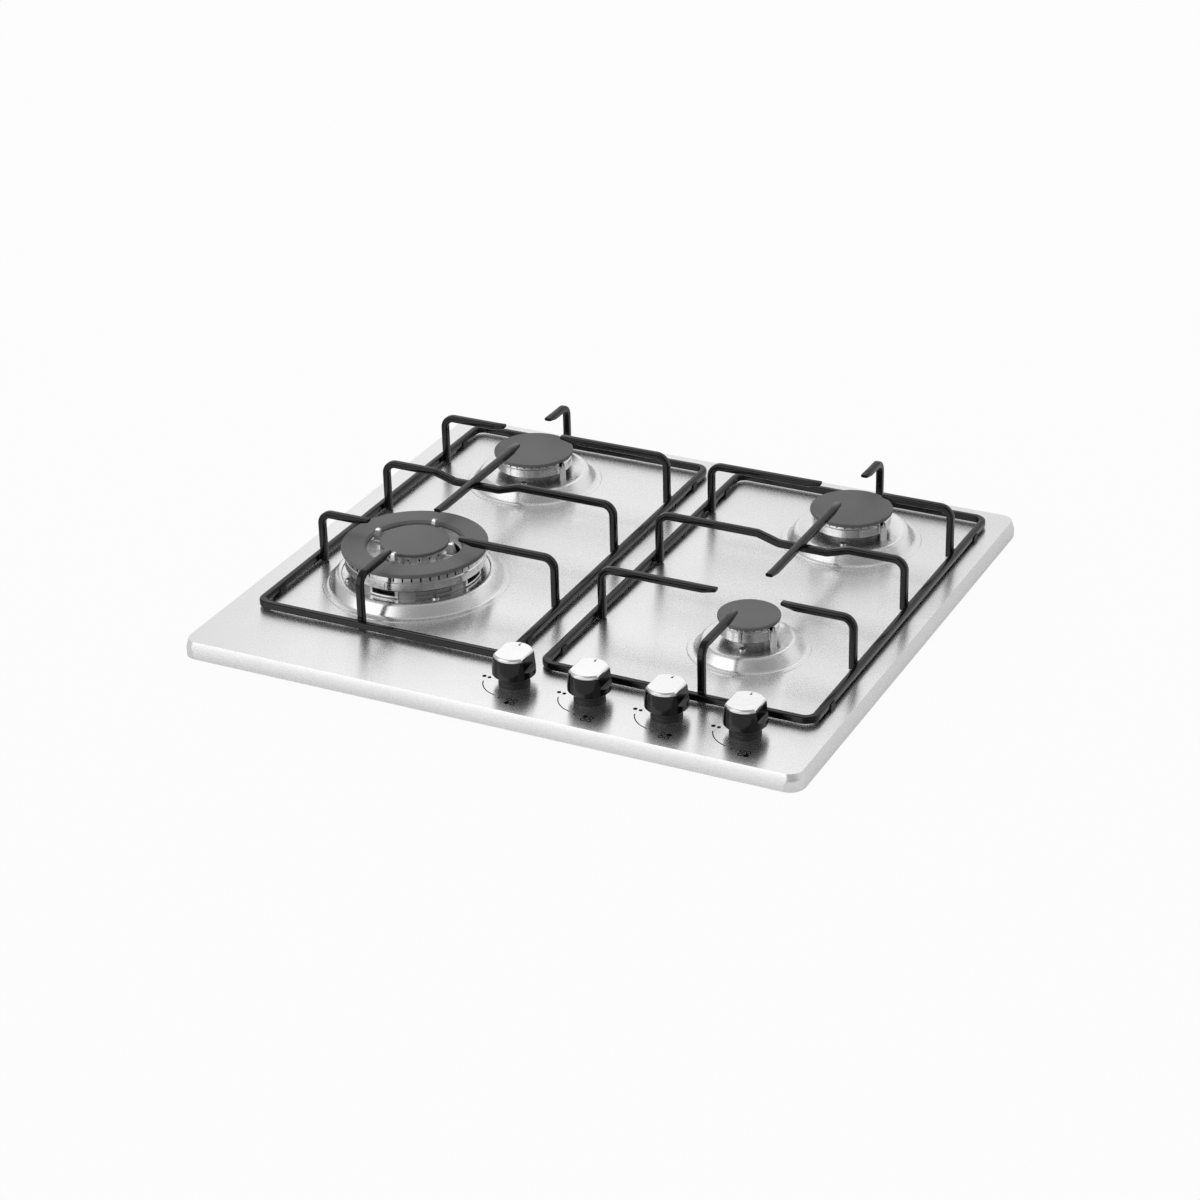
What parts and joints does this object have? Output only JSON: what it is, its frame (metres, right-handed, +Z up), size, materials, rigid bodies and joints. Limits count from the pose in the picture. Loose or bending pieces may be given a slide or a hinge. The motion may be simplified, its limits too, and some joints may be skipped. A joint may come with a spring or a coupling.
{
  "type": "gas cooktop",
  "caption": "Built-in gas cooktop with brushed steel plate, round burners, black enamelled pan supports and front knobs.",
  "frame": {"origin": "middle of the whole part seen from above, on the surface that the burner box stands on", "axes": "+X to the right seen from the knobs, +Y from the knobs to the back, +Z up"},
  "size_m": [0.58, 0.52, 0.117],
  "materials": {
    "plate_steel": "brushed",
    "box_steel": "satin",
    "zinc_screws": "satin",
    "seal_foam": "matte",
    "rail_alu": "satin",
    "pipe_alu": "satin",
    "brass_parts": "satin",
    "cup_alu": "satin",
    "burner_alu": "polished",
    "cap_enamel": "matte",
    "bar_enamel": "gloss",
    "ceramic": "gloss",
    "black_plastic": "matte",
    "knob_plastic": "gloss",
    "insert_metal": "satin",
    "foot_rubber": "matte"
  },
  "bodies": {
    "frame_body": {"top_plate": "plate_steel", "worktop_seal": "seal_foam", "burner_box": "box_steel", "box_screws": "zinc_screws", "worktop_clamps": "box_steel", "clamp_screws": "zinc_screws", "gas_rail": "rail_alu", "rail_saddles": "box_steel", "inlet_pipe": "rail_alu", "inlet_nipple": "brass_parts", "feed_pipes": "pipe_alu", "pipe_nuts": "brass_parts", "tap_body_1": "brass_parts", "tap_body_2": "brass_parts", "tap_body_3": "brass_parts", "tap_body_4": "brass_parts", "tap_bonnets": "box_steel", "wok_cup": "cup_alu", "rear_left_cup": "cup_alu", "rear_right_cup": "cup_alu", "aux_cup": "cup_alu", "cup_screws": "zinc_screws", "gas_jets": "brass_parts", "spark_plugs": "ceramic", "spark_generator": "black_plastic", "switch_strip": "black_plastic", "cable_gland": "black_plastic", "knob_collars": "foot_rubber"},
    "support_left_body": {"support_left": "bar_enamel", "support_left_feet": "foot_rubber"},
    "support_right_body": {"support_right": "bar_enamel", "support_right_feet": "foot_rubber"},
    "wok_spreader_body": {"wok_spreader": "burner_alu"},
    "wok_ring_cap_body": {"wok_ring_cap": "cap_enamel"},
    "wok_core_cap_body": {"wok_core_cap": "cap_enamel"},
    "rear_left_spreader_body": {"rear_left_spreader": "burner_alu"},
    "rear_left_cap_body": {"rear_left_cap": "cap_enamel"},
    "rear_right_spreader_body": {"rear_right_spreader": "burner_alu"},
    "rear_right_cap_body": {"rear_right_cap": "cap_enamel"},
    "aux_spreader_body": {"aux_spreader": "burner_alu"},
    "aux_cap_body": {"aux_cap": "cap_enamel"},
    "tap_plug_1_body": {"tap_plug_1": "brass_parts"},
    "knob_1_body": {"spindle_1": "zinc_screws", "knob_1": "knob_plastic", "knob_insert_1": "insert_metal"},
    "tap_plug_2_body": {"tap_plug_2": "brass_parts"},
    "knob_2_body": {"spindle_2": "zinc_screws", "knob_2": "knob_plastic", "knob_insert_2": "insert_metal"},
    "tap_plug_3_body": {"tap_plug_3": "brass_parts"},
    "knob_3_body": {"spindle_3": "zinc_screws", "knob_3": "knob_plastic", "knob_insert_3": "insert_metal"},
    "tap_plug_4_body": {"tap_plug_4": "brass_parts"},
    "knob_4_body": {"spindle_4": "zinc_screws", "knob_4": "knob_plastic", "knob_insert_4": "insert_metal"}
  },
  "joints": [
    {"name": "support_left_lift", "type": "slide", "parent": "frame_body", "child": "support_left_body", "axis": [0, 0, 1], "range_m": [0, 0.07]},
    {"name": "support_right_lift", "type": "slide", "parent": "frame_body", "child": "support_right_body", "axis": [0, 0, 1], "range_m": [0, 0.07]},
    {"name": "wok_spreader_lift", "type": "slide", "parent": "frame_body", "child": "wok_spreader_body", "axis": [0, 0, 1], "range_m": [0, 0.006]},
    {"name": "wok_ring_cap_lift", "type": "slide", "parent": "wok_spreader_body", "child": "wok_ring_cap_body", "axis": [0, 0, 1], "range_m": [0, 0.006]},
    {"name": "wok_core_cap_lift", "type": "slide", "parent": "wok_spreader_body", "child": "wok_core_cap_body", "axis": [0, 0, 1], "range_m": [0, 0.006]},
    {"name": "rear_left_spreader_lift", "type": "slide", "parent": "frame_body", "child": "rear_left_spreader_body", "axis": [0, 0, 1], "range_m": [0, 0.006]},
    {"name": "rear_left_cap_lift", "type": "slide", "parent": "rear_left_spreader_body", "child": "rear_left_cap_body", "axis": [0, 0, 1], "range_m": [0, 0.006]},
    {"name": "rear_right_spreader_lift", "type": "slide", "parent": "frame_body", "child": "rear_right_spreader_body", "axis": [0, 0, 1], "range_m": [0, 0.006]},
    {"name": "rear_right_cap_lift", "type": "slide", "parent": "rear_right_spreader_body", "child": "rear_right_cap_body", "axis": [0, 0, 1], "range_m": [0, 0.006]},
    {"name": "aux_spreader_lift", "type": "slide", "parent": "frame_body", "child": "aux_spreader_body", "axis": [0, 0, 1], "range_m": [0, 0.006]},
    {"name": "aux_cap_lift", "type": "slide", "parent": "aux_spreader_body", "child": "aux_cap_body", "axis": [0, 0, 1], "range_m": [0, 0.006]},
    {"name": "tap_1_turn", "type": "hinge", "parent": "frame_body", "child": "tap_plug_1_body", "pos_m": [0.0105, -0.21, 0.04], "axis": [0, 0, 1], "range_deg": [0, 180]},
    {"name": "knob_1_push", "type": "slide", "parent": "tap_plug_1_body", "child": "knob_1_body", "axis": [0, 0, -1], "range_m": [0, 0.0035], "stiffness_N_per_m": 700, "springref_m": -0.001},
    {"name": "tap_2_turn", "type": "hinge", "parent": "frame_body", "child": "tap_plug_2_body", "pos_m": [0.0809, -0.21, 0.04], "axis": [0, 0, 1], "range_deg": [0, 180]},
    {"name": "knob_2_push", "type": "slide", "parent": "tap_plug_2_body", "child": "knob_2_body", "axis": [0, 0, -1], "range_m": [0, 0.0035], "stiffness_N_per_m": 700, "springref_m": -0.001},
    {"name": "tap_3_turn", "type": "hinge", "parent": "frame_body", "child": "tap_plug_3_body", "pos_m": [0.1513, -0.21, 0.04], "axis": [0, 0, 1], "range_deg": [0, 180]},
    {"name": "knob_3_push", "type": "slide", "parent": "tap_plug_3_body", "child": "knob_3_body", "axis": [0, 0, -1], "range_m": [0, 0.0035], "stiffness_N_per_m": 700, "springref_m": -0.001},
    {"name": "tap_4_turn", "type": "hinge", "parent": "frame_body", "child": "tap_plug_4_body", "pos_m": [0.2217, -0.21, 0.04], "axis": [0, 0, 1], "range_deg": [0, 180]},
    {"name": "knob_4_push", "type": "slide", "parent": "tap_plug_4_body", "child": "knob_4_body", "axis": [0, 0, -1], "range_m": [0, 0.0035], "stiffness_N_per_m": 700, "springref_m": -0.001}
  ]
}
